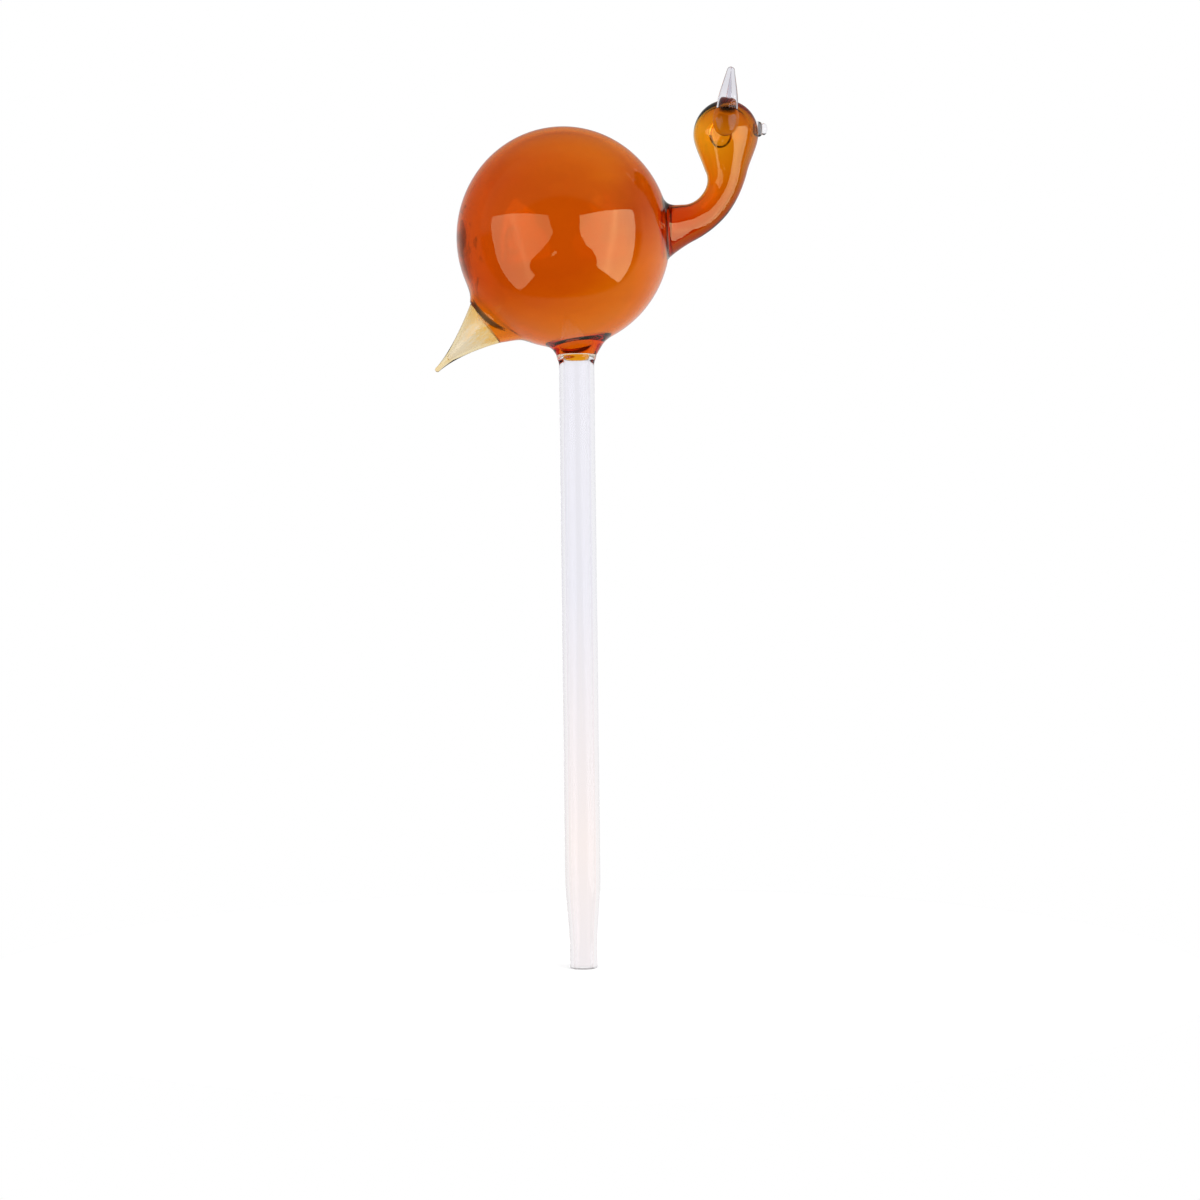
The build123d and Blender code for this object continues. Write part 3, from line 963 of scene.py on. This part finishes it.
# %% Horns
def pressed_horn_tree():
    """A straight drop, pressed flat at its base, leaned forward, moved to the head and seated on it."""
    tree, g, given, out = new_tree(
        "pressed_horn", geometry,
        [("Path", "Object", None), ("Seat", "Object", None), ("Base Flatness", "Float", base_flatness),
         ("Tip Flatness", "Float", tip_flatness), ("Lean", "Vector", (0, horn_lean, 0)),
         ("Foot", "Vector", (0, 0, 0)), ("Material", "Material", None)],
        [("Geometry", "Geometry")],
    )
    round_drop = g.group(swept_tube, {"Path": given["Path"], "Sides": 112}).outputs[0]
    here = g.node("GeometryNodeInputPosition").outputs[0]
    rounder = g.math("DIVIDE", g.axes(here)["Z"], horn_length, clamp=True)
    flatness = g.blend(given["Base Flatness"], given["Tip Flatness"], rounder)
    press = g.node("ShaderNodeCombineXYZ", {0: 1.0, 1: flatness, 2: 1.0}).outputs[0]
    pressed = g.node("GeometryNodeSetPosition", {
        "Geometry": round_drop, "Position": g.vector("MULTIPLY", here, press),
    }).outputs[0]
    placed = g.node("GeometryNodeTransform", {
        "Geometry": pressed, "Rotation": given["Lean"], "Translation": given["Foot"],
    }).outputs[0]
    finished(g, given, out, cut_away(g, placed, object_shape(g, given["Seat"])))
    return tree


pressed_horn = pressed_horn_tree()


def horn(name, side):
    return grown(name, pressed_horn, {
        "Path": horn_path, "Seat": head_seat, "Base Flatness": base_flatness, "Tip Flatness": tip_flatness,
        "Lean": (0, horn_lean, 0), "Foot": (horn_foot.x, side * horn_foot.y, horn_foot.z), "Material": bead,
    })


right_horn = horn("right_horn_glass", 1)
left_horn = horn("left_horn_glass", -1)

# %% [markdown]
# ## The nose
# The nose is a clear bead on the front of the head. It bulges into a collar, and beyond a groove it ends
# in a smaller round tip. It is a turned shape, so it is one more sweep along a short straight path.
# After it, the paths and seats have done their work and are removed.

# %% Nose
nose_z, nose_start, nose_step, nose_end = 271.65 * mm, 58.45 * mm, 61.05 * mm, 62.85 * mm
nose_radius, nose_groove, nose_tip, tip_middle = 2.5 * mm, 1.6 * mm, 1.9 * mm, 0.35


def nose_stations():
    """A bulging collar, a groove and a round tip, from inside the head outwards."""
    stations = [((nose_start, 0, nose_z), nose_groove)]
    for turned in [mix(0, math.pi, share) for share in even(28)]:
        x = mix(nose_start, nose_step, (1 - math.cos(turned)) / 2)
        stations.append(((x + pole, 0, nose_z), mix(nose_groove, nose_radius, math.sin(turned))))
    centre = mix(nose_step, nose_end, tip_middle)
    low = -math.acos(nose_groove / nose_tip)
    for turned in [mix(low, math.pi / 2, share) for share in even(30)]:
        reach = (nose_end - centre) if turned > 0 else (centre - nose_step - 2 * pole) / math.sin(-low)
        x = centre + reach * math.sin(turned)
        stations.append(((x, 0, nose_z), max(nose_tip * math.cos(turned), pole)))
    return stations


nose_path = path_object("nose_path", nose_stations())
nose = grown("nose_glass", blown_tube, {
    "Outside": nose_path, "Seat": head_seat, "Sides": 96, "Material": bead,
})

# %% Helpers that have done their work
for helper in helpers:
    bpy.data.objects.remove(helper)

# %% [markdown]
# ## The camera
# The photo was taken with a long lens, level with the middle of the stem and rolled by less than a
# degree. The place and the lens were found by laying the CAD outlines over the photo.

# %% Camera
camera = bpy.data.objects.new("camera", bpy.data.cameras.new("camera"))
bpy.context.scene.collection.objects.link(camera)
camera_roll = 0.012
camera.location = (6.696 * mm, -757.99 * mm, 119.36 * mm)
camera.rotation_mode = "XYZ"
camera.rotation_euler = (math.pi / 2, camera_roll, 0)
camera.data.lens = 70.0
camera.data.sensor_width = 36.0
camera.data.clip_start = 0.01
bpy.context.scene.camera = camera
print("camera stands", round(-camera.location.y / mm), "mm in front")

# %% [markdown]
# ## The floor
# A pale disc lies under the mouth of the stem and takes its soft shadow. It glows just enough to look
# white to the camera where no shadow falls. Glass would show its edge, so mirrored and refracted rays
# pass it by and see the room instead.

# %% Floor
floor_radius, floor_sides = 0.2, 96
floor_shade, floor_glow = (0.5, 0.5, 0.5, 1), 0.45


def emptied_material(name):
    """A material with nothing but its output, and its graph and the socket for its surface."""
    material = bpy.data.materials.new(name)
    material.use_nodes = True
    nodes = material.node_tree.nodes
    nodes.remove(nodes["Principled BSDF"])
    return material, Graph(material.node_tree), nodes["Material Output"].inputs["Surface"]


def floor_material():
    material, g, surface = emptied_material("white_sweep")
    rays = g.node("ShaderNodeLightPath").outputs
    matt = g.node("ShaderNodeBsdfDiffuse", {"Color": floor_shade})
    strength = g.math("MULTIPLY", rays["Is Camera Ray"], floor_glow)
    glow = g.node("ShaderNodeEmission", {"Color": (1, 1, 1, 1), "Strength": strength})
    both = g.node("ShaderNodeAddShader", {0: matt.outputs[0], 1: glow.outputs[0]})
    g.feed(surface, both.outputs[0])
    return material


turns = [2 * math.pi * k / floor_sides for k in range(floor_sides)]
floor_rim = [(floor_radius * math.cos(a), floor_radius * math.sin(a), 0) for a in turns]
floor_mesh = bpy.data.meshes.new("floor")
floor_mesh.from_pydata(floor_rim, [], [list(range(floor_sides))])
floor_mesh.materials.append(floor_material())
floor = bpy.data.objects.new("floor", floor_mesh)
bpy.context.scene.collection.objects.link(floor)
floor.visible_glossy = False
floor.visible_transmission = False
print("floor is", 2 * floor_radius, "m across")

# %% [markdown]
# ## The white room
# To the camera the room is white. Seen in the glass it is a real studio: white behind, a dim ceiling and
# a dark side where the camera stands. Those dark parts draw the edges of clear glass, which would vanish
# in a room that is white all round. Where the globe's front mirrors the dark side, a paler ceiling is
# over it and a paler floor is under it. A sphere of lamps could do the same, but a world that knows the
# ray needs no objects.

# %% World
wall_level, low_level, high_level, left_level = 0.7, 0.45, 0.22, 0.15
dark_level, ceiling_level = 0.03, 0.28
dim_front, dim_overhead = 0.6, 0.05
border_lean, border_place, border_soft = 0.045, -0.105, 0.06
floor_border, ceiling_border, left_border = (-0.5, -0.1), (-0.05, 0.6), (-0.8, -0.3)
dome_border, overhead_border = (0.52, 0.62), (0.3, 0.5)
floor_lift, dome_curve, back_slope = 0.5, 0.5, 0.45


def mirrored_room(g, way, front_edge):
    """How bright the room is where glass mirrors it."""
    level = g.blend(low_level, wall_level, g.ramp(way["Z"], *floor_border))
    level = g.blend(level, high_level, g.ramp(way["Z"], *ceiling_border))
    level = g.blend(level, left_level, g.ramp(way["X"], *left_border, 1.0, 0.0))
    downward = g.math("POWER", g.math("MAXIMUM", g.math("MULTIPLY", way["Z"], -1.0), 0.0), 3.0)
    lifted = g.math("MULTIPLY_ADD", downward, floor_lift, front_edge)
    dome = g.math("MULTIPLY_ADD", g.math("MULTIPLY", way["X"], way["X"]), dome_curve, way["Z"])
    front = g.blend(dark_level, ceiling_level, g.ramp(dome, *dome_border))
    return g.blend(level, front, g.ramp(lifted, -border_soft, border_soft, 1.0, 0.0))


def refracted_room(g, way, front_edge):
    """How bright the room is where it is seen through glass."""
    level = g.blend(1.0, dim_front, g.ramp(front_edge, -border_soft, border_soft, 1.0, 0.0))
    behind = g.math("MAXIMUM", way["Y"], 0.0)
    overhead = g.math("SUBTRACT", way["Z"], g.math("MULTIPLY", behind, back_slope))
    return g.blend(level, dim_overhead, g.ramp(overhead, *overhead_border))


def room():
    world = bpy.data.worlds.new("white_room")
    bpy.context.scene.world = world
    world.use_nodes = True
    g = Graph(world.node_tree)
    way = g.axes(g.node("ShaderNodeTexCoord").outputs["Generated"])
    rays = g.node("ShaderNodeLightPath").outputs
    front_edge = g.math("ADD", way["Y"], g.math("MULTIPLY_ADD", way["X"], border_lean, border_place))
    level = g.blend(1.0, mirrored_room(g, way, front_edge), rays["Is Glossy Ray"])
    level = g.blend(level, refracted_room(g, way, front_edge), rays["Is Transmission Ray"])
    shader = world.node_tree.nodes["Background"]
    g.feed(shader.inputs["Color"], (1, 1, 1, 1))
    g.feed(shader.inputs["Strength"], g.blend(level, 1.0, rays["Is Camera Ray"]))
    return world


print("world:", room().name)

# %% [markdown]
# ## Two light panels
# The photo shows two bright panels mirrored in the front of the globe, with ragged inner edges where the
# camera's gap opens between them, and a small card between. A mirror image says where its light hangs:
# the outline of each highlight is taken as fractions of the globe's radius, a ray from the camera is
# reflected there, and the panel is hung at the end of those rays. Glass also leads their light round
# inside it, which would bleach the edges of the horns, so the panels are dim to rays that come out of
# glass.

# %% Outlines of the panels
panel_distance = 0.45
left_outline = [
    (-.665, .198), (-.594, .212), (-.454, .221), (-.314, .216), (-.22, .212), (-.15, .212),
    (-.131, .174), (-.122, .118), (-.098, .062), (-.112, .024), (-.131, -.022), (-.173, -.069),
    (-.211, -.116), (-.257, -.158), (-.295, -.196), (-.309, -.228), (-.318, -.266), (-.309, -.299),
    (-.267, -.35), (-.314, -.406), (-.36, -.458), (-.407, -.486), (-.449, -.467), (-.501, -.411),
    (-.566, -.322), (-.604, -.238), (-.632, -.163), (-.655, -.069), (-.669, .015), (-.679, .118),
]
right_outline = [
    (.154, .212), (.248, .23), (.342, .249), (.435, .258), (.529, .268), (.641, .265),
    (.663, .221), (.672, .118), (.672, .006), (.665, -.069), (.651, -.163), (.623, -.257),
    (.594, -.317), (.548, -.388), (.51, -.416), (.463, -.383), (.389, -.322), (.351, -.299),
    (.304, -.261), (.312, -.219), (.3, -.172), (.271, -.116), (.22, -.074), (.183, -.018),
    (.164, .024), (.15, .09),
]
card_outline = [(-.117, -.182), (-.106, -.14), (-.08, -.116), (-.055, -.131), (-.087, -.157)]


def mirrored_place(across, up):
    """Where a light hangs that the camera sees mirrored at that place on the globe's disc."""
    axes = camera.rotation_euler.to_matrix()
    aim = globe_centre + (axes.col[0] * across + axes.col[1] * up) * globe_half_width
    view = (aim - camera.location).normalized()
    squash = Vector((1 / globe_half_width, 1 / globe_half_width, 1 / globe_half_height))
    start, step = (camera.location - globe_centre) * squash, view * squash
    middle = start.dot(step) / step.dot(step)
    reach = -middle - math.sqrt(middle ** 2 - (start.dot(start) - 1) / step.dot(step))
    spot = camera.location + view * reach
    normal = ((spot - globe_centre) * squash * squash).normalized()
    return spot + view.reflect(normal) * panel_distance


print("outline points:", len(left_outline), len(right_outline), len(card_outline))

# %% Light panels
streaks = ((0.3, 0.25), (0.05, 0.3))
inner_loss, near_loss, near_depth = 0.3, 0.55, 4.5


def panel_material(name, strength, streak_at, streak_lean):
    """An even glow with a wide and a narrow bright streak down it."""
    material, g, surface = emptied_material(name)
    uv = g.axes(g.node("ShaderNodeUVMap").outputs[0])
    line = g.math("MULTIPLY_ADD", uv["Y"], streak_lean, streak_at)
    off = g.math("ABSOLUTE", g.math("SUBTRACT", uv["X"], line))
    bright = 1.0
    for width, gain in streaks:
        bright = g.math("ADD", g.ramp(off, 0.0, width, gain, 0.0), bright)
    rays = g.node("ShaderNodeLightPath").outputs
    loss = g.math("MULTIPLY_ADD", g.math("LESS_THAN", rays["Ray Depth"], near_depth), near_loss, inner_loss)
    lost = g.math("MULTIPLY", rays["Is Transmission Ray"], loss)
    dimmed = g.math("MULTIPLY", g.math("SUBTRACT", 1.0, lost), strength)
    level = g.math("MULTIPLY", bright, dimmed)
    glow = g.node("ShaderNodeEmission", {"Color": (1, 1, 1, 1), "Strength": level})
    g.feed(surface, glow.outputs[0])
    return material


def light_panel(name, outline, strength, streak_at, streak_lean):
    fine = []
    for (ax, az), (bx, bz) in zip(outline, outline[1:] + outline[:1]):
        fine += [(mix(ax, bx, share), mix(az, bz, share)) for share in even(3)[:-1]]
    triangles = tessellate_polygon([[Vector((x, z, 0)) for x, z in fine]])
    mesh = bpy.data.meshes.new(name)
    mesh.from_pydata([mirrored_place(x, z) for x, z in fine], [], [list(t) for t in triangles])
    layer = mesh.uv_layers.new(name="UVMap")
    for loop in mesh.loops:
        layer.data[loop.index].uv = fine[loop.vertex_index]
    mesh.materials.append(panel_material(name, strength, streak_at, streak_lean))
    panel = bpy.data.objects.new(name, mesh)
    bpy.context.scene.collection.objects.link(panel)
    panel.visible_camera = False
    print(f"{name}: {len(triangles)} triangles at strength {strength}")


light_panel("left_panel", left_outline, strength=2.45, streak_at=-0.405, streak_lean=-0.234)
light_panel("right_panel", right_outline, strength=4.3, streak_at=0.44, streak_lean=0.131)
light_panel("small_card", card_outline, strength=2.0, streak_at=-0.09, streak_lean=0.0)

# %% [markdown]
# ## What glass needs from the render
# A ray crosses many walls here: a globe alone has four surfaces, and a ray can turn inside a wall many
# times. So rays may bounce more often than Blender lets them by default. Colours are shown plainly, with
# the Standard view.

# %% Bounces and view
scene = bpy.context.scene
scene.view_settings.view_transform = "Standard"
scene.cycles.max_bounces = 32
scene.cycles.transmission_bounces = 28
scene.cycles.glossy_bounces = 12
print("bounces:", scene.cycles.max_bounces)

# %% [markdown]
# ## The pieces take their places
# Each piece stands for the CAD solid of the same name and rides on the one body, because nothing on the
# object moves.

# %% Places in the frame
pieces = {
    "stem": (stem, "clear_glass"), "globe": (globe, "amber_glass"), "neck_and_head": (neck, "amber_glass"),
    "tail": (tail, "straw_glass"), "right_horn": (right_horn, "clear_glass"),
    "left_horn": (left_horn, "clear_glass"), "nose": (nose, "clear_glass"),
}
for node, (piece, slot) in pieces.items():
    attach(piece, "root")
    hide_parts(node)
print("pieces:", list(pieces))
